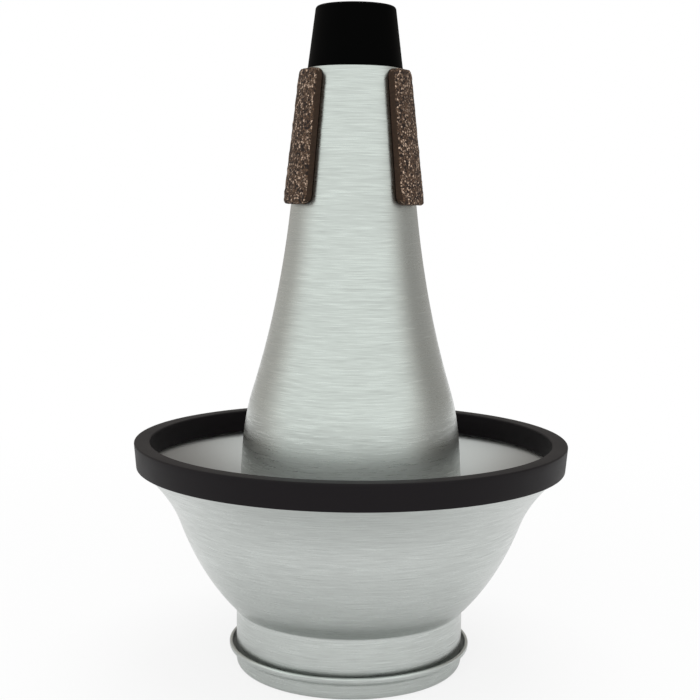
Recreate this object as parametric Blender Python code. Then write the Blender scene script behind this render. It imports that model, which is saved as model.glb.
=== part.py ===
"""A cup mute for a trombone: a spun body with a rubber throat and three cork strips,
and a spun cup with a rubber rim, which slides along the body down to the lip of the end lid.

Metres, +Z up. The origin is the centre of the lid's underside, and the front is -Y."""

import math

import bmesh
import bpy
from mathutils import Vector
from mathutils.geometry import interpolate_bezier

MM = 0.001

# Fits and facets
GAP = 0.3 * MM
STEPS = 48

# End lid
LID_WALL = 1.0 * MM
LID_FLOOR = 1.0 * MM
LID_CORNER = 3.0 * MM
LIP_FOOT_Z = 6.6 * MM
LIP_FLARE = 2.0 * MM
LIP_THICKNESS = 1.5 * MM
LIP_TOP_Z = 10.9 * MM

# Body
SEAT_R = 49.0 * MM
BODY_WALL = 1.0 * MM
SEAT_TOP_Z = 62.0 * MM
SHOULDER_R = 43.4 * MM
SHOULDER_Z = 124.0 * MM
SHOULDER_LEAN = math.radians(17.3)
CONE_FOOT_Z = 198.0 * MM
BODY_TOP_R = 20.45 * MM
BODY_TOP_Z = 261.9 * MM
CONE_LEAN = math.radians(6.7)

# Tip
TIP_RISE = 26.5 * MM
TIP_TOP_R = 17.3 * MM
TIP_EDGE = 1.6 * MM
TIP_BORE_R = 13.0 * MM
TIP_BORE_EDGE = 0.8 * MM
SPIGOT_DEPTH = 14.0 * MM

# Corks
CORK_WIDTH = 16.0 * MM
CORK_LENGTH = 57.0 * MM
CORK_THICKNESS = 4.0 * MM
CORK_SETBACK = 0.5 * MM
CORK_CORNER = 3.5 * MM
CORK_EDGE = 0.9 * MM
CORK_TURNS = {"cork_right": 60.0, "cork_left": -60.0, "cork_back": 180.0}

# Cup
CUP_WALL = 1.0 * MM
NECK_PLAY = 0.35 * MM
KNEE_Z = 26.5 * MM
KNEE_ROUND = 1.5 * MM
KNEE_LEAN = math.radians(46.0)
WAIST_R = 75.5 * MM
WAIST_Z = 67.0 * MM
WAIST_LEAN = math.radians(20.0)
RIM_R = 91.8 * MM
RIM_LEAN = math.radians(45.0)
RIM_ROUND = 2.0 * MM
RIM_TURN_Z = 91.2 * MM
RIM_TOP_Z = 97.6 * MM

# Rim bumper
BUMPER_CROWN = 3.8 * MM
BUMPER_HEIGHT = 11.2 * MM
BUMPER_SIDE = 2.9 * MM
BUMPER_INSIDE = 2.3 * MM
BUMPER_DRAFT = 0.9 * MM
BUMPER_EDGE = 0.7 * MM
BUMPER_INNER_LIFT = 0.8 * MM

# Sizes that follow from the ones above
LID_INNER_R = SEAT_R + GAP
LID_OUTER_R = LID_INNER_R + LID_WALL
LIP_INNER_R = LID_INNER_R + LIP_FLARE + LID_WALL - GAP
LIP_OUTER_R = LIP_INNER_R + LIP_THICKNESS
BODY_FOOT_Z = LID_CORNER
NECK_INNER_R = SEAT_R + NECK_PLAY
NECK_OUTER_R = NECK_INNER_R + CUP_WALL
NECK_FOOT_Z = LIP_FOOT_Z + (NECK_OUTER_R - LID_INNER_R) + GAP * math.sqrt(2)
SLOT_OUTER_R = RIM_R + GAP
SLOT_INNER_R = RIM_R - CUP_WALL - GAP
SLOT_TOP_Z = RIM_TOP_Z + GAP
BUMPER_OUTER_R = SLOT_OUTER_R + BUMPER_SIDE
BUMPER_INNER_R = SLOT_INNER_R - BUMPER_INSIDE
BUMPER_TOP_Z = SLOT_TOP_Z + BUMPER_CROWN


def clear_scene():
    for obj in list(bpy.data.objects):
        bpy.data.objects.remove(obj, do_unlink=True)


def make_material(name, colour, roughness, metallic):
    material = bpy.data.materials.new(name)
    material.use_nodes = True
    shader = material.node_tree.nodes["Principled BSDF"]
    shader.inputs["Base Color"].default_value = (*colour, 1.0)
    shader.inputs["Roughness"].default_value = roughness
    shader.inputs["Metallic"].default_value = metallic
    material.diffuse_color = (*colour, 1.0)
    return material


def point(radius, height):
    """A point of a turned profile, in the plane of +X and Z."""
    return Vector((radius, 0.0, height))


def arc(centre_r, centre_z, radius, start, end, count):
    """Points of an arc, with angles in degrees from +X towards +Z."""
    points = []
    for i in range(count):
        angle = math.radians(start + (end - start) * i / (count - 1))
        points.append(point(centre_r + radius * math.cos(angle), centre_z + radius * math.sin(angle)))
    return points


def curve(start, start_lean, end, end_lean, count, first=1 / 3, last=1 / 3):
    """A smooth curve between two points. A lean is the tangent's turn from vertical, away from
    the axis as the curve climbs. first and last set how long each end keeps its direction."""
    reach = (end - start).length
    start_way = Vector((math.sin(start_lean), 0.0, math.cos(start_lean)))
    end_way = Vector((math.sin(end_lean), 0.0, math.cos(end_lean)))
    return interpolate_bezier(start, start + start_way * reach * first, end - end_way * reach * last, end, count)


def offset_inwards(path, wall):
    """The path moved by the wall to its left, as seen when it runs down the outer side."""
    moved = []
    for i, here in enumerate(path):
        before = (here - path[i - 1]).normalized() if i else None
        after = (path[i + 1] - here).normalized() if i + 1 < len(path) else None
        way = ((before or after) + (after or before)).normalized()
        normal = Vector((way.z, 0.0, -way.x))
        spread = way.dot(after or before)
        moved.append(here + normal * wall / spread)
    return moved


def shell(path, wall):
    """A closed profile for a spun sheet whose outer side is the path, from top to bottom."""
    return path + list(reversed(offset_inwards(path, wall)))


def turned(name, profile, material, closed=True):
    """A turned solid. The profile runs down its outer side, and an open one ends on the axis."""
    mesh = bpy.data.meshes.new(name)
    edges = [(i, i + 1) for i in range(len(profile) - 1)]
    if closed:
        edges.append((len(profile) - 1, 0))
    mesh.from_pydata(profile, edges, [])
    obj = bpy.data.objects.new(name, mesh)
    bpy.context.scene.collection.objects.link(obj)
    screw = obj.modifiers.new("Turn", "SCREW")
    screw.axis = "Z"
    screw.angle = math.tau
    screw.steps = STEPS
    screw.render_steps = STEPS
    screw.use_merge_vertices = True
    screw.merge_threshold = 0.00001
    screw.use_smooth_shade = True
    mesh.materials.append(material)


def body_path():
    """The outer side of the body, from its small end down to its foot."""
    cone_foot_r = BODY_TOP_R + (BODY_TOP_Z - CONE_FOOT_Z) * math.tan(CONE_LEAN)
    shoulder = point(SHOULDER_R, SHOULDER_Z)
    seat_top = point(SEAT_R, SEAT_TOP_Z)
    rising = curve(seat_top, 0.0, shoulder, -SHOULDER_LEAN, 7, first=0.6, last=0.2)
    flare = curve(shoulder, -SHOULDER_LEAN, point(cone_foot_r, CONE_FOOT_Z), -CONE_LEAN, 6)
    climb = [point(SEAT_R, BODY_FOOT_Z)] + rising + flare[1:] + [point(BODY_TOP_R, BODY_TOP_Z)]
    return list(reversed(climb))


def make_body_shell(material):
    turned("body_shell", shell(body_path(), BODY_WALL), material)


def body_r(height):
    """The outer radius of the body's straight cone at a height."""
    return BODY_TOP_R + (BODY_TOP_Z - height) * math.tan(CONE_LEAN)


def make_tip(material):
    """The throat: a rounded cone flush with the body, and a spigot that fills the body's small end."""
    shoulder_z = BODY_TOP_Z + GAP
    top_z = BODY_TOP_Z + TIP_RISE
    spigot_z = shoulder_z - SPIGOT_DEPTH
    wall_across = BODY_WALL / math.cos(CONE_LEAN) + GAP
    edge_r = TIP_TOP_R - TIP_EDGE
    profile = [point(TIP_BORE_R + TIP_BORE_EDGE, top_z)]
    profile += arc(edge_r, top_z - TIP_EDGE, TIP_EDGE, 90, 5, 4)
    profile.append(point(BODY_TOP_R, shoulder_z))
    profile.append(point(body_r(shoulder_z) - wall_across, shoulder_z))
    profile.append(point(body_r(spigot_z) - wall_across, spigot_z))
    profile.append(point(TIP_BORE_R, spigot_z))
    profile.append(point(TIP_BORE_R, top_z - TIP_BORE_EDGE))
    turned("tip", profile, material)


def make_cork(name, turn, material):
    """A strip cut from a flat sheet with rounded corners, and bent round the cone of the body."""
    half_width = CORK_WIDTH / 2
    half_length = CORK_LENGTH / 2
    bm = bmesh.new()
    corners = []
    for across, along, start in ((1, 1, 0), (-1, 1, 90), (-1, -1, 180), (1, -1, 270)):
        for i in range(4):
            angle = math.radians(start + 30 * i)
            x = across * (half_width - CORK_CORNER) + CORK_CORNER * math.cos(angle)
            y = along * (half_length - CORK_CORNER) + CORK_CORNER * math.sin(angle)
            corners.append(bm.verts.new((x, y, 0.0)))
    face = bm.faces.new(corners)
    raised = bmesh.ops.extrude_face_region(bm, geom=[face])
    top = [item for item in raised["geom"] if isinstance(item, bmesh.types.BMVert)]
    bmesh.ops.translate(bm, verts=top, vec=(0.0, 0.0, CORK_THICKNESS - GAP))
    rim = [edge for edge in bm.edges if all(vert in top for vert in edge.verts)]
    bmesh.ops.bevel(bm, geom=rim, offset=CORK_EDGE, offset_type="OFFSET", segments=2, profile=0.5,
                    affect="EDGES", material=-1)
    for cut in (-0.25, 0.0, 0.25):
        everything = bm.verts[:] + bm.edges[:] + bm.faces[:]
        bmesh.ops.bisect_plane(bm, geom=everything, plane_co=(cut * CORK_WIDTH, 0, 0), plane_no=(1, 0, 0))
    centre_z = BODY_TOP_Z - CORK_SETBACK - half_length
    for vert in bm.verts:
        height = centre_z + vert.co.y
        under = body_r(height)
        angle = vert.co.x / body_r(centre_z) + math.radians(turn)
        radius = under + GAP + vert.co.z
        vert.co = (radius * math.sin(angle), -radius * math.cos(angle), height)
    bmesh.ops.triangulate(bm, faces=bm.faces[:])
    bmesh.ops.recalc_face_normals(bm, faces=bm.faces[:])
    mesh = bpy.data.meshes.new(name)
    bm.to_mesh(mesh)
    bm.free()
    mesh.shade_smooth()
    mesh.set_sharp_from_angle(angle=math.radians(40))
    mesh.materials.append(material)
    obj = bpy.data.objects.new(name, mesh)
    bpy.context.scene.collection.objects.link(obj)


def cup_path():
    """The outer side of the cup, from its rim down to the foot of its neck."""
    knee_turn = math.tan(KNEE_LEAN / 2) * KNEE_ROUND
    knee = arc(NECK_OUTER_R + KNEE_ROUND, KNEE_Z - knee_turn, KNEE_ROUND, 180, 180 - math.degrees(KNEE_LEAN), 3)
    waist = point(WAIST_R, WAIST_Z)
    rim_arc = arc(RIM_R - RIM_ROUND, RIM_TURN_Z, RIM_ROUND, -math.degrees(RIM_LEAN), 0, 3)
    bowl = curve(knee[-1], KNEE_LEAN, waist, WAIST_LEAN, 7)
    flare = curve(waist, WAIST_LEAN, rim_arc[0], RIM_LEAN, 5)
    climb = [point(NECK_OUTER_R, NECK_FOOT_Z)] + knee + bowl[1:] + flare[1:] + rim_arc[1:]
    climb.append(point(RIM_R, RIM_TOP_Z))
    return list(reversed(climb))


def make_cup_shell(material):
    turned("cup_shell", shell(cup_path(), CUP_WALL), material)


def make_rim_bumper(material):
    """A rubber channel, with the rim of the cup in its slot."""
    foot_z = BUMPER_TOP_Z - BUMPER_HEIGHT
    inner_foot_z = foot_z + BUMPER_INNER_LIFT
    profile = arc(BUMPER_OUTER_R - BUMPER_EDGE, BUMPER_TOP_Z - BUMPER_EDGE, BUMPER_EDGE, 90, 0, 3)
    profile.append(point(BUMPER_OUTER_R - BUMPER_DRAFT, foot_z))
    profile.append(point(SLOT_OUTER_R, foot_z))
    profile.append(point(SLOT_OUTER_R, SLOT_TOP_Z))
    profile.append(point(SLOT_INNER_R, SLOT_TOP_Z))
    profile.append(point(SLOT_INNER_R, inner_foot_z))
    profile.append(point(BUMPER_INNER_R, inner_foot_z))
    profile += arc(BUMPER_INNER_R + BUMPER_EDGE, BUMPER_TOP_Z - BUMPER_EDGE, BUMPER_EDGE, 180, 90, 3)
    turned("rim_bumper", profile, material)


def make_end_lid(material):
    """A shallow dish: a flat floor, a rounded corner, a short wall and a flared lip with a rolled edge."""
    lip_round = LIP_THICKNESS / 2
    lip_centre_r = LIP_INNER_R + lip_round
    inner_corner = LID_CORNER - LID_FLOOR
    profile = [point(0.0, LID_FLOOR)]
    profile += arc(LID_INNER_R - inner_corner, LID_FLOOR + inner_corner, inner_corner, 270, 360, 3)
    profile.append(point(LID_INNER_R, LIP_FOOT_Z))
    profile.append(point(LIP_INNER_R, LIP_FOOT_Z + LIP_INNER_R - LID_INNER_R))
    profile += arc(lip_centre_r, LIP_TOP_Z - lip_round, lip_round, 180, 0, 5)
    profile.append(point(LIP_OUTER_R, LIP_FOOT_Z + LIP_INNER_R - LID_INNER_R - LIP_THICKNESS / 4))
    profile.append(point(LID_OUTER_R, LIP_FOOT_Z - LID_WALL / 4))
    profile += arc(LID_OUTER_R - LID_CORNER, LID_CORNER, LID_CORNER, 0, -90, 4)
    profile.append(point(0.0, 0.0))
    turned("end_lid", profile, material, closed=False)


def main():
    clear_scene()
    aluminium = make_material("spun_aluminium", (0.62, 0.63, 0.62), 0.35, 1.0)
    rubber = make_material("black_rubber", (0.022, 0.021, 0.022), 0.6, 0.0)
    cork = make_material("granulated_cork", (0.16, 0.105, 0.07), 0.9, 0.0)
    make_end_lid(aluminium)
    make_body_shell(aluminium)
    make_tip(rubber)
    for name, turn in CORK_TURNS.items():
        make_cork(name, turn, cork)
    make_cup_shell(aluminium)
    make_rim_bumper(rubber)


main()
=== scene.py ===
"""The finish of a trombone cup mute: spun and brushed aluminium, black rubber and granulated cork.

Every piece is turned or bent anew at a fine pitch in the place of its plain solid, in metres,
with +Z up, the lid's underside at zero and the front at -Y."""

import math

import bmesh
import bpy
from bpy.props import FloatProperty, FloatVectorProperty, IntProperty, PointerProperty
from mathutils import Matrix, Vector, noise
from mathutils.geometry import interpolate_bezier


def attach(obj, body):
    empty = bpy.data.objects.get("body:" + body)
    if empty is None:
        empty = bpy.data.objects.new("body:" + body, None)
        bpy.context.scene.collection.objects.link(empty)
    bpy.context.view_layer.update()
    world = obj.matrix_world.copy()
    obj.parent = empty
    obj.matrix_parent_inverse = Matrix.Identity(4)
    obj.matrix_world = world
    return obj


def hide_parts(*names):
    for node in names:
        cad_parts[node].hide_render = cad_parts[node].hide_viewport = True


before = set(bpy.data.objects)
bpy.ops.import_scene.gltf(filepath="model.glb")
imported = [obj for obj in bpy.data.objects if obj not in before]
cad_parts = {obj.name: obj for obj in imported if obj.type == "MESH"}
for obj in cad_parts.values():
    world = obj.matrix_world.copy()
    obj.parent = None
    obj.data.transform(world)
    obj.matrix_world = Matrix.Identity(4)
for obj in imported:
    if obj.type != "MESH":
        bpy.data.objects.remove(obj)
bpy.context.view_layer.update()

bl_info = {
    "name": "Cup mute",
    "version": (1, 0, 0),
    "blender": (4, 5, 0),
    "location": "View3D > Sidebar > Mute",
    "description": "Spins the shells of a trombone cup mute and gives each its finish",
    "category": "Object",
}

MM = 0.001
MUTE_BODY = "mute_body"
CUP = "cup"

# How meshes are closed: points nearer than this are one, and edges that turn more than this are sharp
MERGE_DISTANCE = 1e-7
SHARP_ANGLE = math.radians(38.0)
SHEET_EDGE_STEPS = 4


def length(name, millimetres, description):
    """A length of the mute, shown in the units of the scene."""
    return FloatProperty(name=name, description=description, default=millimetres * MM, min=0.0,
                         unit="LENGTH", precision=5)


def lean(name, degrees, description):
    """The turn of a profile's tangent from vertical."""
    return FloatProperty(name=name, description=description, default=math.radians(degrees), unit="ROTATION")


def colour(name, value, description):
    """A colour of a finish, in linear light."""
    return FloatVectorProperty(name=name, description=description, default=value, subtype="COLOR",
                               size=3, min=0.0, max=1.0)


class MuteSizes(bpy.types.PropertyGroup):
    """Lengths and leans of the turned profiles."""
    seam: length("Seam", 0.3, "Clearance between pieces that touch")
    lid_wall: length("Lid wall", 1.0, "Thickness of the lid's sheet")
    lid_corner: length("Lid corner", 3.0, "Radius of the lid's bottom corner")
    lip_foot_z: length("Lip foot", 6.6, "Height at which the lid's lip starts to flare")
    lip_flare: length("Lip flare", 2.0, "How far the lip flares past the wall")
    lip_thickness: length("Lip thickness", 1.5, "Thickness of the rolled lip")
    lip_top_z: length("Lip top", 10.9, "Height of the lip")
    seat_r: length("Seat radius", 49.0, "Outer radius of the body where the cup sits")
    body_wall: length("Body wall", 1.0, "Thickness of the body's sheet")
    seat_top_z: length("Seat top", 62.0, "Height at which the shoulder starts")
    shoulder_r: length("Shoulder radius", 43.4, "Outer radius where the shoulder turns into the flare")
    shoulder_z: length("Shoulder height", 124.0, "Height where the shoulder turns into the flare")
    shoulder_lean: lean("Shoulder lean", 17.3, "Lean of the wall at the shoulder's end")
    cone_foot_z: length("Cone foot", 198.0, "Height at which the straight cone starts")
    body_top_r: length("Body top radius", 20.45, "Outer radius of the body's small end")
    body_top_z: length("Body top", 261.9, "Height of the body's small end")
    cone_lean: lean("Cone lean", 6.7, "Lean of the straight cone")
    tip_rise: length("Tip rise", 26.5, "How far the tip stands above the body")
    tip_top_r: length("Tip top radius", 17.3, "Outer radius of the tip's mouth")
    tip_edge: length("Tip edge", 1.6, "Rounding of the tip's outer edge")
    bore_r: length("Bore radius", 13.0, "Radius of the throat")
    bore_edge: length("Bore edge", 0.8, "Rounding of the throat's mouth")
    spigot_depth: length("Spigot depth", 14.0, "Length of the tip inside the body")
    cork_width: length("Cork width", 16.0, "Width of a strip along the body's skin")
    cork_length: length("Cork length", 57.0, "Length of a strip")
    cork_thickness: length("Cork thickness", 4.0, "Thickness of a strip, with the seam under it")
    cork_setback: length("Cork setback", 0.5, "Distance of a strip's end from the body's end")
    cork_corner: length("Cork corner", 3.5, "Radius of a strip's corners")
    cork_edge: length("Cork edge", 0.9, "Rounding of a strip's outer edges")
    cork_grain: length("Cork grain", 0.28, "Depth of the pits between the granules")
    cup_wall: length("Cup wall", 1.0, "Thickness of the cup's sheet")
    neck_play: length("Neck play", 0.35, "Clearance between neck and body")
    knee_z: length("Knee height", 26.5, "Height at which the neck turns into the bowl")
    knee_round: length("Knee rounding", 1.5, "Radius of the knee")
    knee_lean: lean("Knee lean", 46.0, "Lean of the bowl at the knee")
    waist_r: length("Waist radius", 75.5, "Radius at which the bowl turns into the flare")
    waist_z: length("Waist height", 67.0, "Height at which the bowl turns into the flare")
    waist_lean: lean("Waist lean", 20.0, "Lean of the wall at the waist")
    rim_r: length("Rim radius", 91.8, "Outer radius of the cup's rim")
    rim_lean: lean("Rim lean", 45.0, "Lean of the flare below the rim")
    rim_round: length("Rim rounding", 2.0, "Radius with which the flare turns upright")
    rim_turn_z: length("Rim turn", 91.2, "Height at which the rim stands upright")
    rim_top_z: length("Rim top", 97.6, "Height of the cup's edge inside the bumper")
    bumper_top_z: length("Bumper top", 101.7, "Height of the rubber rim")
    bumper_height: length("Bumper height", 11.2, "Height of the rubber rim's outer side")
    bumper_outer_r: length("Bumper outer radius", 95.0, "Outer radius of the rubber rim")
    bumper_inner_r: length("Bumper inner radius", 88.2, "Inner radius of the rubber rim")
    bumper_draft: length("Bumper draft", 0.9, "How far the rubber rim's outer side draws in")
    bumper_edge: length("Bumper edge", 0.7, "Rounding of the rubber rim")
    bumper_lift: length("Bumper lift", 0.8, "How much shorter the rubber rim is inside")
    facets: IntProperty(name="Facets", description="Steps of each full turn", default=240, min=24, max=720)


class MuteFinish(bpy.types.PropertyGroup):
    """Colours of the finishes."""
    metal: colour("Metal", (0.60, 0.63, 0.61), "Brushed aluminium where the grain is bright")
    metal_dark: colour("Metal grooves", (0.47, 0.49, 0.475), "Brushed aluminium in its grooves")
    inside: colour("Metal inside", (0.57, 0.573, 0.573), "Duller aluminium inside the shells")
    tip: colour("Tip rubber", (0.0004, 0.0004, 0.0004), "Rubber of the throat")
    rim: colour("Rim rubber", (0.0032, 0.0022, 0.0029), "Rubber of the rim")
    cork_dark: colour("Cork, dark", (0.018, 0.010, 0.007), "Darkest granules and pits")
    cork_mid: colour("Cork, middle", (0.12, 0.07, 0.042), "Most granules")
    cork_pale: colour("Cork, pale", (0.58, 0.42, 0.31), "Palest granules")
    paper: colour("Floor", (0.93, 0.93, 0.93), "Paper under and behind the mute")


# Shader maths


class Wire:
    """A socket on which the usual operators add Math nodes."""

    def __init__(self, nodes, socket):
        self.nodes = nodes
        self.socket = socket

    def math(self, operation, *others):
        values = dict(enumerate((self, *others)))
        return self.nodes.add("ShaderNodeMath", {"operation": operation}, values)

    def __add__(self, other):
        return self.math("ADD", other)

    __radd__ = __add__

    def __mul__(self, other):
        return self.math("MULTIPLY", other)

    __rmul__ = __mul__

    def __sub__(self, other):
        return self.math("SUBTRACT", other)

    def __rsub__(self, other):
        return self.nodes.add("ShaderNodeMath", {"operation": "SUBTRACT"}, {0: other, 1: self})

    def __pow__(self, other):
        return self.math("POWER", other)


class Nodes:
    """A node tree, with a method for each kind of node that the finishes share."""

    def __init__(self, tree):
        self.tree = tree

    def add(self, kind, settings=None, values=None, output=0):
        """Adds a node, sets its settings and a ramp's stops, then fills its sockets."""
        node = self.tree.nodes.new(kind)
        for name, value in (settings or {}).items():
            if name == "stops":
                self.set_stops(node.color_ramp, value)
            else:
                setattr(node, name, value)
        for name, value in (values or {}).items():
            self.fill(node.inputs[name], value)
        return Wire(self, node.outputs[output])

    def fill(self, socket, value):
        """Links a wire to a socket, or sets the socket to a plain value."""
        if isinstance(value, Wire):
            self.tree.links.new(value.socket, socket)
        else:
            socket.default_value = value

    def set_stops(self, ramp, stops):
        """Gives a ramp its stops, each a place from 0 to 1 and a colour."""
        while len(ramp.elements) < len(stops):
            ramp.elements.new(0.5)
        for element, (place, value) in zip(ramp.elements, stops):
            element.position = place
            element.color = (*value, 1.0)

    def surface(self, kind, shader):
        """Ends the tree in an output of this kind."""
        self.fill(self.tree.nodes.new(kind).inputs["Surface"], shader)

    def place(self):
        """The Object coordinates."""
        return self.add("ShaderNodeTexCoord", output="Object")

    def split(self, vector):
        """The X, Y and Z of a vector."""
        node = self.add("ShaderNodeSeparateXYZ", None, {0: vector}).socket.node
        return [Wire(self, node.outputs[axis]) for axis in range(3)]

    def mix(self, factor, first, second):
        """A colour between two colours. A Mix node has its colours at 6 and 7, and their mix at 2."""
        values = {0: factor}
        for index, value in ((6, first), (7, second)):
            values[index] = value if isinstance(value, Wire) else (*value, 1.0)
        return self.add("ShaderNodeMix", {"data_type": "RGBA"}, values, output=2)

    def rise(self, value, low, high, start=0.0, end=1.0, smooth=False):
        """Goes from start to end while the value goes from low to high, and no further."""
        settings = {"interpolation_type": "SMOOTHSTEP" if smooth else "LINEAR", "clamp": True}
        limits = {"From Min": low, "From Max": high, "To Min": start, "To Max": end}
        return self.add("ShaderNodeMapRange", settings, {"Value": value, **limits})

    def grain(self, where, across, up, detail=2.0):
        """Noise from 0 to 1, with so many waves to the metre across and up."""
        stretched = self.add("ShaderNodeMapping", None, {"Vector": where, "Scale": (across, across, up)})
        return self.add("ShaderNodeTexNoise", None, {"Vector": stretched, "Scale": 1.0, "Detail": detail})

    def bump(self, height, strength, depth):
        """A normal that follows a height."""
        return self.add("ShaderNodeBump", None, {"Strength": strength, "Distance": depth, "Height": height})

    def rays(self):
        """1 on rays that the camera sends or that pass through, and 1 on rays that gloss mirrors."""
        path = self.add("ShaderNodeLightPath").socket.node
        names = ("Is Camera Ray", "Is Glossy Ray", "Is Transmission Ray")
        camera, glossy, through = (Wire(self, path.outputs[name]) for name in names)
        return camera.math("MAXIMUM", through), glossy


# Finishes


def new_finish(name, constants):
    """A Principled finish, with the values of its own sockets. Returns it, its nodes and the sockets."""
    material = bpy.data.materials.new(name)
    material.use_nodes = True
    shader = material.node_tree.nodes["Principled BSDF"]
    for socket, value in constants.items():
        shader.inputs[socket].default_value = value
    return material, Nodes(material.node_tree), shader.inputs


def shade(base, share):
    """A colour made darker or paler, and no paler than white."""
    return tuple(min(1.0, value * share) for value in base)


def along_profile(nodes):
    """Object coordinates, with a height that also runs outwards, so flats and walls both take rings."""
    outward_share = 0.6
    x, y, z = nodes.split(nodes.place())
    radius = (x * x + y * y) ** 0.5
    return nodes.add("ShaderNodeCombineXYZ", None, {0: x, 1: y, 2: z + radius * outward_share})


def brushed_metal(name, finish):
    """Aluminium brushed round the axis: hair lines, broader lines, slow changes and bright scratches."""
    constants = {"Roughness": 0.30, "Metallic": 1.0, "Anisotropic": 0.62, "Anisotropic Rotation": 0.25}
    material, nodes, shader = new_finish(name, constants)
    place = along_profile(nodes)
    hair = nodes.grain(place, across=110.0, up=4200.0, detail=3.0)
    line = nodes.grain(place, across=55.0, up=1600.0)
    slow = nodes.grain(place, across=9.0, up=60.0)
    scratch = nodes.rise(nodes.grain(place, across=52.0, up=1900.0, detail=1.0), low=0.66, high=0.76)
    tone = nodes.rise(hair * 0.55 + line * 0.3 + slow * 0.15, low=0.34, high=0.64)
    base = nodes.mix(tone, finish.metal_dark, finish.metal)
    nodes.fill(shader["Base Color"], nodes.mix(scratch * 0.35, base, shade(finish.metal, 1.25)))
    nodes.fill(shader["Roughness"], 0.40 - tone * 0.16 + scratch * 0.05)
    nodes.fill(shader["Normal"], nodes.bump(hair * 0.8 + line * 0.2, strength=0.4, depth=0.06 * MM))
    return material


def satin_metal(name, finish):
    """The duller inner side of the spun sheet, with only faint tool rings."""
    constants = {"Roughness": 0.42, "Metallic": 1.0, "Anisotropic": 0.3, "Anisotropic Rotation": 0.25}
    material, nodes, shader = new_finish(name, constants)
    place = along_profile(nodes)
    ring = nodes.grain(place, across=7.0, up=520.0)
    cloud = nodes.grain(place, across=30.0, up=40.0, detail=3.0)
    tone = ring * 0.35 + cloud * 0.65
    nodes.fill(shader["Base Color"], nodes.mix(tone, shade(finish.inside, 0.86), finish.inside))
    nodes.fill(shader["Roughness"], 0.36 + tone * 0.14)
    nodes.fill(shader["Normal"], nodes.bump(ring, strength=0.25, depth=0.06 * MM))
    return material


def rubber(name, base, bloom, gloss):
    """Moulded rubber with a fine pebble, and a paler bloom in patches."""
    constants = {"Roughness": 0.5, "Metallic": 0.0, "IOR": 1.48, "Specular IOR Level": gloss}
    material, nodes, shader = new_finish(name, constants)
    place = nodes.place()
    pebble = nodes.grain(place, across=1900.0, up=1900.0, detail=3.0)
    wipe = nodes.grain(place, across=38.0, up=70.0, detail=4.0)
    nodes.fill(shader["Base Color"], nodes.mix(wipe * bloom, base, shade(base, 2.0)))
    nodes.fill(shader["Roughness"], 0.44 + wipe * 0.16)
    nodes.fill(shader["Normal"], nodes.bump(pebble, strength=0.3, depth=0.12 * MM))
    return material


def shaded_cork_sides(name, finish):
    """The sides of a strip, painted dark brown as painted shade, with a faint mottle."""
    constants = {"Roughness": 0.8, "Metallic": 0.0, "IOR": 1.4, "Specular IOR Level": 0.3}
    material, nodes, shader = new_finish(name, constants)
    shade_mottle = nodes.grain(nodes.place(), across=500.0, up=1100.0, detail=3.0)
    # Painted shade: the sides run from the darkest cork to a darkened middle brown.
    nodes.fill(shader["Base Color"], nodes.mix(shade_mottle, finish.cork_dark, shade(finish.cork_mid, 0.45)))
    return material


def granulated_cork(name, finish):
    """Pressed granules, each of its own brown, with dark binder between them."""
    material, nodes, shader = new_finish(name, {"Roughness": 0.85, "Metallic": 0.0, "IOR": 1.4})
    place = nodes.place()
    wave = {"Vector": place, "Scale": 700.0, "Detail": 1.0}
    bent = nodes.add("ShaderNodeTexNoise", None, wave, output="Color")
    shift = nodes.add("ShaderNodeVectorMath", {"operation": "SCALE"}, {0: bent, "Scale": 0.6 * MM})
    moved = nodes.add("ShaderNodeVectorMath", {"operation": "ADD"}, {0: place, 1: shift})
    cells = {"Vector": moved, "Scale": 1150.0}
    colours = nodes.add("ShaderNodeTexVoronoi", {"feature": "F1"}, cells, output="Color")
    edge = nodes.add("ShaderNodeTexVoronoi", {"feature": "DISTANCE_TO_EDGE"}, cells)
    pick = nodes.add("ShaderNodeSeparateColor", None, {0: colours})
    fine = nodes.grain(place, across=2600.0, up=2600.0)
    dark, mid, pale = finish.cork_dark, finish.cork_mid, finish.cork_pale
    stops = [(0.0, dark), (0.22, dark), (0.36, mid), (0.62, mid), (0.86, pale), (1.0, pale)]
    granule = nodes.add("ShaderNodeValToRGB", {"stops": stops}, {0: pick * 0.8 + fine * 0.2})
    skin = nodes.rise(edge, low=0.02, high=0.16)
    nodes.fill(shader["Base Color"], nodes.mix(skin, dark, granule))
    nodes.fill(shader["Normal"], nodes.bump(skin + pick * 0.5, strength=0.8, depth=0.3 * MM))
    return material


def finish_named(name, maker, finish):
    """A finish that several pieces share is made once."""
    return bpy.data.materials.get(name) or maker(name, finish)


def paint(piece, material, second=None, out_below=0.0, up_below=math.inf):
    """Gives the piece its finish, and a second to the faces whose normals point outwards by less
    than one share, and up or down by less than the other."""
    piece.data.materials.append(material)
    if second is None:
        return
    piece.data.materials.append(second)
    for face in piece.data.polygons:
        outwards = Vector((face.center.x, face.center.y, 0.0))
        if not outwards.length:
            continue
        out = face.normal.dot(outwards.normalized())
        if out < out_below and abs(face.normal.z) < up_below:
            face.material_index = 1


def paint_sheet(piece, context):
    """Brushed metal, with the duller one where the sheet faces the axis."""
    finish = context.scene.mute_finish
    outer = finish_named("brushed_aluminium", brushed_metal, finish)
    inner = finish_named("satin_aluminium", satin_metal, finish)
    paint(piece, outer, inner, out_below=-0.5)


# Turned and bent forms


def point(radius, height):
    """A point of a turned profile, in the plane of +X and Z."""
    return Vector((radius, 0.0, height))


def arc(centre_r, centre_z, radius, start, end, count):
    """Points of an arc, with angles in degrees from +X towards +Z."""
    points = []
    for i in range(count):
        angle = math.radians(start + (end - start) * i / (count - 1))
        points.append(point(centre_r + radius * math.cos(angle), centre_z + radius * math.sin(angle)))
    return points


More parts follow.
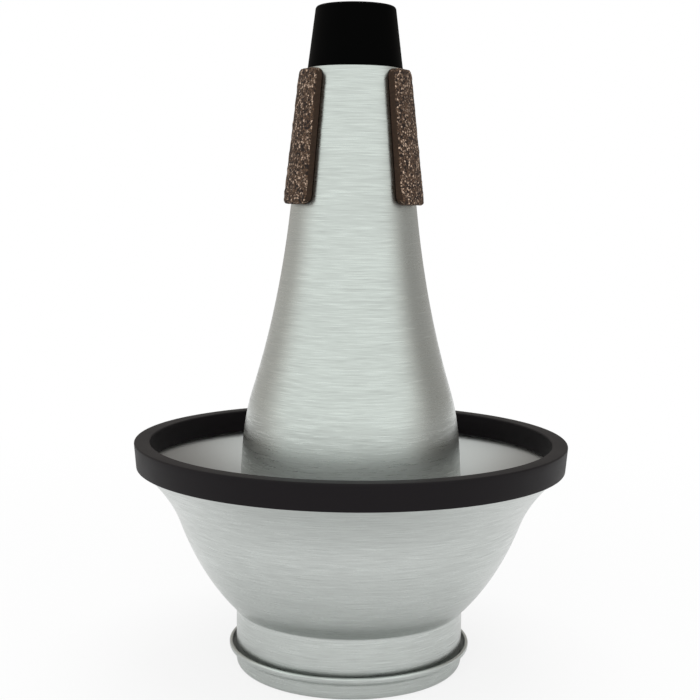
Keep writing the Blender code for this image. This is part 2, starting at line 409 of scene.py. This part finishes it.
def curve(start, start_lean, end, end_lean, count, first=1 / 3, last=1 / 3):
    """A smooth curve that climbs between two points, with a lean at each that turns away from the axis.
    first and last set how long each end keeps its lean, and are negative on a curve that comes down."""
    reach = (end - start).length
    start_way = Vector((math.sin(start_lean), 0.0, math.cos(start_lean)))
    end_way = Vector((math.sin(end_lean), 0.0, math.cos(end_lean)))
    start_handle = start + start_way * reach * first
    end_handle = end - end_way * reach * last
    return interpolate_bezier(start, start_handle, end_handle, end, count)


def stepped(start, end, count):
    """Points on a straight run, without its start."""
    return [start.lerp(end, i / count) for i in range(1, count + 1)]


def normals_of(path):
    """The way inwards at each point of a path that climbs the outer side."""
    ways = []
    for i, here in enumerate(path):
        before = (here - path[max(i - 1, 0)]).normalized()
        after = (path[min(i + 1, len(path) - 1)] - here).normalized()
        way = (before + after).normalized()
        ways.append(Vector((-way.z, 0.0, way.x)))
    return ways


def rolled_edge(start, end):
    """The half turn that closes the edge of a sheet, from one side of it to the other."""
    middle = (start + end) / 2
    across = (start - end) / 2
    along = Vector((-across.z, 0.0, across.x))
    angles = [math.pi * i / SHEET_EDGE_STEPS for i in range(1, SHEET_EDGE_STEPS)]
    return [middle + across * math.cos(angle) + along * math.sin(angle) for angle in angles]


def sheet_profile(climb, wall):
    """A closed profile of spun sheet whose outer side climbs the path, with rounded edges."""
    inner = [here + way * wall for here, way in zip(climb, normals_of(climb))]
    top = rolled_edge(climb[-1], inner[-1])
    foot = rolled_edge(inner[0], climb[0])
    return climb + top + list(reversed(inner)) + foot


def piece_of(name, bm):
    """Makes an object of a bmesh, smooth but for its sharp edges."""
    mesh = bpy.data.meshes.new(name)
    bm.to_mesh(mesh)
    bm.free()
    mesh.shade_smooth()
    mesh.set_sharp_from_angle(angle=SHARP_ANGLE)
    piece = bpy.data.objects.new(name, mesh)
    bpy.context.scene.collection.objects.link(piece)
    return piece


def spin_piece(name, profile, facets, closed=True):
    """Turns a profile about the axis into a piece whose faces point out. An open one ends on the axis."""
    bm = bmesh.new()
    verts = [bm.verts.new(place) for place in profile]
    pairs = list(zip(verts, verts[1:]))
    if closed:
        pairs.append((verts[-1], verts[0]))
    edges = [bm.edges.new(pair) for pair in pairs]
    bmesh.ops.spin(bm, geom=verts + edges, cent=(0, 0, 0), axis=(0, 0, 1), dvec=(0, 0, 0),
                   angle=math.tau, steps=facets, use_merge=True)
    bmesh.ops.remove_doubles(bm, verts=bm.verts[:], dist=MERGE_DISTANCE)
    bmesh.ops.recalc_face_normals(bm, faces=bm.faces[:])
    return piece_of(name, bm)


def seat(piece, node, body):
    """Puts the piece in the place of its plain solid."""
    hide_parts(node)
    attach(piece, body)


def cone_r(sizes, height):
    """Outer radius of the body's straight cone."""
    return sizes.body_top_r + (sizes.body_top_z - height) * math.tan(sizes.cone_lean)


# Operators, one for each kind of piece


class MUTE_OT_end_lid(bpy.types.Operator):
    """Spin the end lid: a flat floor, a rounded corner, a short wall and a flared lip with a rolled edge"""
    bl_idname = "mute.end_lid"
    bl_label = "End lid"

    def execute(self, context):
        s = context.scene.mute_sizes
        inner_r = s.seat_r + s.seam
        outer_r = inner_r + s.lid_wall
        floor_middle_r = inner_r / 2
        inner_corner = s.lid_corner - s.lid_wall
        lip_inner_r = inner_r + s.lip_flare + s.lid_wall - s.seam
        lip_outer_r = lip_inner_r + s.lip_thickness
        lip_round = s.lip_thickness / 2
        flare_z = s.lip_foot_z + lip_inner_r - inner_r
        bulge_z = flare_z - s.lip_thickness / 4
        inner_foot = point(inner_r, s.lip_foot_z - lip_round)
        inner_top = point(lip_inner_r, flare_z + lip_round)
        outer_top = point(lip_outer_r, bulge_z + lip_round)
        outer_foot = point(outer_r, s.lip_foot_z - lip_round)
        profile = [point(0.0, s.lid_wall), point(floor_middle_r, s.lid_wall)]
        profile += arc(inner_r - inner_corner, s.lid_wall + inner_corner, inner_corner, 270, 360, count=8)
        profile += curve(inner_foot, 0.0, inner_top, 0.0, count=12, first=0.45, last=0.45)
        profile += arc(lip_inner_r + lip_round, s.lip_top_z - lip_round, lip_round, 180, 0, count=11)
        profile += curve(outer_top, 0.0, outer_foot, 0.0, count=12, first=-0.42, last=-0.42)
        profile += arc(outer_r - s.lid_corner, s.lid_corner, s.lid_corner, 0, -90, count=12)
        profile += [point(floor_middle_r, 0.0), point(0.0, 0.0)]
        piece = spin_piece("spun_end_lid", profile, s.facets, closed=False)
        paint_sheet(piece, context)
        seat(piece, "end_lid", MUTE_BODY)
        return {"FINISHED"}


class MUTE_OT_body_shell(bpy.types.Operator):
    """Spin the body: a seat for the cup, a convex shoulder, a flare and a straight cone"""
    bl_idname = "mute.body_shell"
    bl_label = "Body shell"

    def execute(self, context):
        s = context.scene.mute_sizes
        foot = point(s.seat_r, s.lid_corner)
        seat_top = point(s.seat_r, s.seat_top_z)
        shoulder = point(s.shoulder_r, s.shoulder_z)
        cone_foot = point(cone_r(s, s.cone_foot_z), s.cone_foot_z)
        climb = [foot] + stepped(foot, seat_top, count=4)
        climb += curve(seat_top, 0.0, shoulder, -s.shoulder_lean, count=26, first=0.6, last=0.2)[1:]
        climb += curve(shoulder, -s.shoulder_lean, cone_foot, -s.cone_lean, count=22)[1:]
        climb += stepped(cone_foot, point(s.body_top_r, s.body_top_z), count=6)
        piece = spin_piece("spun_body", sheet_profile(climb, s.body_wall), s.facets)
        paint_sheet(piece, context)
        seat(piece, "body_shell", MUTE_BODY)
        return {"FINISHED"}


class MUTE_OT_tip(bpy.types.Operator):
    """Turn the rubber tip: a rounded cone with an open throat, and a spigot inside the body"""
    bl_idname = "mute.tip"
    bl_label = "Tip"

    def execute(self, context):
        s = context.scene.mute_sizes
        shoulder_z = s.body_top_z + s.seam
        top_z = s.body_top_z + s.tip_rise
        spigot_z = shoulder_z - s.spigot_depth
        across = s.body_wall / math.cos(s.cone_lean) + s.seam
        outer_foot = point(s.body_top_r, shoulder_z)
        profile = arc(s.bore_r + s.bore_edge, top_z - s.bore_edge, s.bore_edge, 180, 90, count=6)
        profile += arc(s.tip_top_r - s.tip_edge, top_z - s.tip_edge, s.tip_edge, 90, 6, count=10)
        profile += stepped(profile[-1], outer_foot, count=8)
        profile.append(point(cone_r(s, shoulder_z) - across, shoulder_z))
        profile.append(point(cone_r(s, spigot_z) - across, spigot_z))
        profile.append(point(s.bore_r, spigot_z))
        piece = spin_piece("moulded_tip", profile, s.facets)
        paint(piece, rubber("throat_rubber", context.scene.mute_finish.tip, bloom=0.3, gloss=0.02))
        seat(piece, "tip", MUTE_BODY)
        return {"FINISHED"}


class MUTE_OT_corks(bpy.types.Operator):
    """Cut three cork strips, pit their skin and bend them round the body's cone"""
    bl_idname = "mute.corks"
    bl_label = "Cork strips"

    turns = {"cork_right": 60.0, "cork_left": -60.0, "cork_back": 180.0}
    corners = ((1, 1, 0), (-1, 1, 90), (-1, -1, 180), (1, -1, 270))
    slice_pitch = 0.9 * MM
    slice_merge = 0.02 * MM
    granules_to_the_metre = 620.0
    granule_share = 0.45
    swell_share = 0.27
    swell_scale = 0.8
    seed_step = 37.0

    def cut_strip(self, s):
        """A flat strip with rounded corners and outer edges, sliced finely along all three axes. The slices
        through its thickness start as far below it as it is thick, as it lies on the plane of X and Y."""
        half_width, half_length = s.cork_width / 2, s.cork_length / 2
        bm = bmesh.new()
        outline = []
        for across, along, start in self.corners:
            for place in arc(across * (half_width - s.cork_corner), along * (half_length - s.cork_corner),
                             s.cork_corner, start, start + 90, count=8):
                outline.append(bm.verts.new((place.x, place.z, 0.0)))
        raised = bmesh.ops.extrude_face_region(bm, geom=[bm.faces.new(outline)])
        top = {item for item in raised["geom"] if isinstance(item, bmesh.types.BMVert)}
        bmesh.ops.translate(bm, verts=list(top), vec=(0.0, 0.0, s.cork_thickness - s.seam))
        rim = [edge for edge in bm.edges if set(edge.verts) <= top]
        bmesh.ops.bevel(bm, geom=rim, offset=s.cork_edge, offset_type="OFFSET", segments=4, profile=0.5,
                        affect="EDGES", material=-1)
        cuts = ((s.cork_width, (1, 0, 0)), (s.cork_length, (0, 1, 0)), (s.cork_thickness * 2, (0, 0, 1)))
        for span, way in cuts:
            count = int(span / self.slice_pitch)
            for i in range(1, count):
                place = Vector(way) * (span * (i / count - 0.5))
                bmesh.ops.bisect_plane(bm, geom=bm.verts[:] + bm.edges[:] + bm.faces[:],
                                       dist=MERGE_DISTANCE, plane_co=place, plane_no=way)
        bmesh.ops.remove_doubles(bm, verts=bm.verts[:], dist=self.slice_merge)
        bmesh.ops.recalc_face_normals(bm, faces=bm.faces[:])
        return bm

    def pit_skin(self, bm, s, seed):
        """Sinks the skin between the granules. The side on the body stays flat."""
        bm.normal_update()
        for vert in bm.verts:
            if vert.co.z < s.cork_edge / 2:
                continue
            where = Vector(vert.co) * self.granules_to_the_metre + Vector((seed, 0.0, 0.0))
            swell = noise.noise(where * self.swell_scale) + 1.0
            depth = noise.cell(where) * self.granule_share + swell * self.swell_share
            vert.co -= vert.normal * depth * s.cork_grain

    def bend(self, bm, s, turn):
        """Lays the flat strip round the cone, turned about the axis by so many degrees from the front."""
        centre_z = s.body_top_z - s.cork_setback - s.cork_length / 2
        middle_r = cone_r(s, centre_z)
        for vert in bm.verts:
            height = centre_z + vert.co.y
            radius = cone_r(s, height) + s.seam + vert.co.z
            angle = vert.co.x / middle_r + math.radians(turn)
            vert.co = (radius * math.sin(angle), -radius * math.cos(angle), height)

    def execute(self, context):
        s = context.scene.mute_sizes
        granules = granulated_cork("cork_granules", context.scene.mute_finish)
        shaded_sides = shaded_cork_sides("shaded_cork_sides", context.scene.mute_finish)
        for index, (node, turn) in enumerate(self.turns.items()):
            bm = self.cut_strip(s)
            self.pit_skin(bm, s, index * self.seed_step)
            self.bend(bm, s, turn)
            piece = piece_of(node.replace("cork", "cork_strip"), bm)
            # The long sides take the second finish, dark brown painted shade.
            paint(piece, granules, shaded_sides, out_below=0.5, up_below=0.6)
            seat(piece, node, MUTE_BODY)
        return {"FINISHED"}


class MUTE_OT_cup_shell(bpy.types.Operator):
    """Spin the cup: a neck that slides on the body, a knee, a bowl and a flare up to the rim"""
    bl_idname = "mute.cup_shell"
    bl_label = "Cup shell"

    def execute(self, context):
        s = context.scene.mute_sizes
        neck_r = s.seat_r + s.neck_play + s.cup_wall
        neck_foot = point(neck_r, s.lip_foot_z + neck_r - s.seat_r - s.seam + s.seam * math.sqrt(2))
        knee_turn = math.tan(s.knee_lean / 2) * s.knee_round
        knee_end = 180 - math.degrees(s.knee_lean)
        knee = arc(neck_r + s.knee_round, s.knee_z - knee_turn, s.knee_round, 180, knee_end, count=9)
        waist = point(s.waist_r, s.waist_z)
        rim_start = -math.degrees(s.rim_lean)
        rim_turn = arc(s.rim_r - s.rim_round, s.rim_turn_z, s.rim_round, rim_start, 0, count=8)
        climb = [neck_foot] + stepped(neck_foot, knee[0], count=3) + knee[1:]
        climb += curve(knee[-1], s.knee_lean, waist, s.waist_lean, count=26)[1:]
        climb += curve(waist, s.waist_lean, rim_turn[0], s.rim_lean, count=18)[1:]
        climb += rim_turn[1:] + [point(s.rim_r, s.rim_top_z)]
        piece = spin_piece("spun_cup", sheet_profile(climb, s.cup_wall), s.facets)
        paint_sheet(piece, context)
        seat(piece, "cup_shell", CUP)
        return {"FINISHED"}


class MUTE_OT_rim_bumper(bpy.types.Operator):
    """Mould the rubber channel that covers the rim of the cup"""
    bl_idname = "mute.rim_bumper"
    bl_label = "Rim bumper"

    def execute(self, context):
        s = context.scene.mute_sizes
        edge = s.bumper_edge
        lip = edge / 2
        top_edge_z = s.bumper_top_z - edge
        foot_z = s.bumper_top_z - s.bumper_height
        inner_foot_z = foot_z + s.bumper_lift
        foot_outer_r = s.bumper_outer_r - s.bumper_draft
        slot_outer_r = s.rim_r + s.seam
        slot_inner_r = s.rim_r - s.cup_wall - s.seam
        slot_top_z = s.rim_top_z + s.seam
        profile = arc(s.bumper_outer_r - edge, top_edge_z, edge, 90, 0, count=8)
        profile += stepped(profile[-1], point(foot_outer_r, foot_z + lip), count=4)
        profile += arc(foot_outer_r - lip, foot_z + lip, lip, 0, -90, count=5)[1:]
        profile += [point(slot_outer_r, foot_z), point(slot_outer_r, slot_top_z)]
        profile += [point(slot_inner_r, slot_top_z), point(slot_inner_r, inner_foot_z)]
        profile += arc(s.bumper_inner_r + lip, inner_foot_z + lip, lip, 270, 180, count=5)
        profile += arc(s.bumper_inner_r + edge, top_edge_z, edge, 180, 90, count=8)
        piece = spin_piece("rubber_rim", profile, s.facets)
        paint(piece, rubber("bumper_rubber", context.scene.mute_finish.rim, bloom=0.8, gloss=0.16))
        seat(piece, "rim_bumper", CUP)
        return {"FINISHED"}


class MUTE_OT_stage(bpy.types.Operator):
    """Lay the paper, hang the soft lamps and set the camera"""
    bl_idname = "mute.stage"
    bl_label = "Stage"

    paper_half = 3.0
    paper_drop = 0.1 * MM
    white = (1.0, 1.0, 1.0)
    ambient_strength = 0.62
    gloss_in_front = 1.17
    gloss_lost_behind = 0.71
    gloss_lost_right = 0.1
    front_tint = (0.99, 1.03, 1.0)
    back_tint = (1.0, 0.96, 0.9)
    lamp_power = 9.0
    lamp_aim = (0.0, 0.0, 0.13)
    camera_place = (-0.0009, -0.5763, 0.2079)
    camera_pitch = math.radians(6.64)
    camera_roll = math.radians(0.65)
    camera_lens = 67.85
    camera_reach = 20.0

    def white_paper(self, context):
        """Paper that takes the mute's shadow, and turns to plain white away from it. In the mute's gloss it
        glows, dim near the mute and bright away from it: a painted reflection.
        """
        material = bpy.data.materials.new("white_paper")
        material.use_nodes = True
        nodes = Nodes(material.node_tree)
        nodes.tree.nodes.clear()
        lit = nodes.add("ShaderNodeBsdfDiffuse", None, {"Color": (*context.scene.mute_finish.paper, 1.0)})
        glow = nodes.add("ShaderNodeEmission", None, {"Color": (*self.white, 1.0), "Strength": 1.0})
        shown, glossy = nodes.rays()
        distance = nodes.add("ShaderNodeVectorMath", {"operation": "LENGTH"}, {0: nodes.place()}, output=1)
        seen = nodes.rise(distance, low=0.1, high=0.6, start=0.8, end=1.0, smooth=True)
        # Painted reflection: in the mute's gloss the paper glows, dimmer near the mute.
        mirrored = nodes.rise(distance, low=0.04, high=0.17, start=0.2, end=0.9, smooth=True)
        share = shown * seen + glossy * mirrored
        mixed = nodes.add("ShaderNodeMixShader", None, {0: share, 1: lit, 2: glow})
        nodes.surface("ShaderNodeOutputMaterial", mixed)
        return material

    def floor(self, context):
        bm = bmesh.new()
        bmesh.ops.create_grid(bm, x_segments=1, y_segments=1, size=self.paper_half)
        bmesh.ops.translate(bm, verts=bm.verts[:], vec=(0.0, 0.0, -self.paper_drop))
        floor = piece_of("paper_floor", bm)
        floor.data.materials.append(self.white_paper(context))

    def world(self, context):
        """White to the camera, and in the gloss bright in front and dimmer behind the mute."""
        world = bpy.data.worlds.new("studio")
        context.scene.world = world
        world.use_nodes = True
        nodes = Nodes(world.node_tree)
        nodes.tree.nodes.clear()
        shown, glossy = nodes.rays()
        unseen = 1.0 - shown
        x, y, z = nodes.split(nodes.add("ShaderNodeTexCoord", output="Generated"))
        backwards = y + x * 0.15 - z.math("MAXIMUM", 0.0) * 0.9
        behind = nodes.rise(backwards, low=-0.68, high=0.25, smooth=True)
        studio = self.gloss_in_front - behind * (x * self.gloss_lost_right + self.gloss_lost_behind)
        strength = shown + unseen * (glossy * studio + (1.0 - glossy) * self.ambient_strength)
        tint = nodes.mix(behind, self.front_tint, self.back_tint)
        warm = nodes.mix(unseen * glossy, self.white, tint)
        lit = nodes.add("ShaderNodeBackground", None, {"Color": warm, "Strength": strength})
        nodes.surface("ShaderNodeOutputWorld", lit)

    def softbox(self, name, place, side):
        """A square lamp that lights the mute but doesn't show in its gloss."""
        light = bpy.data.lights.new(name, "AREA")
        light.shape = "RECTANGLE"
        light.size = side
        light.size_y = side
        light.energy = self.lamp_power
        lamp = bpy.data.objects.new(name, light)
        lamp.location = place
        lamp.visible_glossy = False
        lamp.rotation_euler = (Vector(self.lamp_aim) - Vector(place)).to_track_quat("-Z", "Y").to_euler()
        bpy.context.scene.collection.objects.link(lamp)

    def camera(self, context):
        data = bpy.data.cameras.new("camera")
        data.lens = self.camera_lens
        data.clip_end = self.camera_reach
        camera = bpy.data.objects.new("camera", data)
        pitch = Matrix.Rotation(math.pi / 2 - self.camera_pitch, 4, "X")
        roll = Matrix.Rotation(self.camera_roll, 4, "Z")
        camera.matrix_world = Matrix.Translation(self.camera_place) @ (pitch @ roll)
        context.scene.collection.objects.link(camera)
        context.scene.camera = camera

    def execute(self, context):
        self.floor(context)
        self.world(context)
        self.softbox("front_softbox", place=(-0.15, -1.5, 0.75), side=1.1)
        self.softbox("top_softbox", place=(0.1, 0.1, 1.6), side=1.2)
        self.camera(context)
        context.scene.view_settings.view_transform = "Standard"
        return {"FINISHED"}


PIECES = (
    MUTE_OT_end_lid,
    MUTE_OT_body_shell,
    MUTE_OT_tip,
    MUTE_OT_corks,
    MUTE_OT_cup_shell,
    MUTE_OT_rim_bumper,
)


class MUTE_PT_panel(bpy.types.Panel):
    """The pieces, sizes and colours of the mute"""
    bl_idname = "MUTE_PT_panel"
    bl_label = "Cup mute"
    bl_space_type = "VIEW_3D"
    bl_region_type = "UI"
    bl_category = "Mute"

    def draw(self, context):
        for operator in (*PIECES, MUTE_OT_stage):
            self.layout.operator(operator.bl_idname)
        for group in (context.scene.mute_sizes, context.scene.mute_finish):
            column = self.layout.column()
            for name in group.__annotations__:
                column.prop(group, name)


CLASSES = (MuteSizes, MuteFinish, *PIECES, MUTE_OT_stage, MUTE_PT_panel)


def register():
    for item in CLASSES:
        bpy.utils.register_class(item)
    bpy.types.Scene.mute_sizes = PointerProperty(type=MuteSizes)
    bpy.types.Scene.mute_finish = PointerProperty(type=MuteFinish)


def unregister():
    del bpy.types.Scene.mute_finish
    del bpy.types.Scene.mute_sizes
    for item in reversed(CLASSES):
        bpy.utils.unregister_class(item)


def main():
    register()
    bpy.ops.mute.end_lid()
    bpy.ops.mute.body_shell()
    bpy.ops.mute.tip()
    bpy.ops.mute.corks()
    bpy.ops.mute.cup_shell()
    bpy.ops.mute.rim_bumper()
    bpy.ops.mute.stage()


if __name__ == "__main__":
    main()
